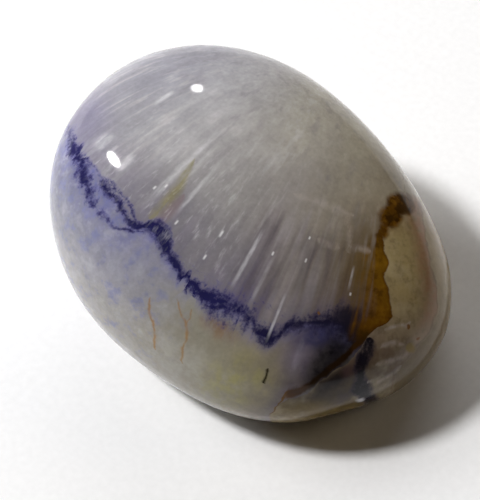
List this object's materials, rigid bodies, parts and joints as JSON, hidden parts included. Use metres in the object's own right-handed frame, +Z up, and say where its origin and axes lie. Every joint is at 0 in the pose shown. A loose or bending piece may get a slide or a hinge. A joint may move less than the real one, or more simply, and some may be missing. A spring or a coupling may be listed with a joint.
{
  "type": "blue john tumbled stone",
  "caption": "Polished tumbled pebble of banded fluorspar, a rounded oval with one higher end, that lies on a worn flat spot underneath.",
  "frame": {"origin": "middle of the stone's box, at the height of the surface it rests on", "axes": "+Z up, X along the stone's longest side with the higher end toward -X, -Y toward the front that the picture shows at lower left"},
  "size_m": [0.03, 0.024, 0.015],
  "materials": {
    "fluorspar": "polished"
  },
  "bodies": {
    "root": {"stone": "fluorspar"}
  },
  "joints": []
}
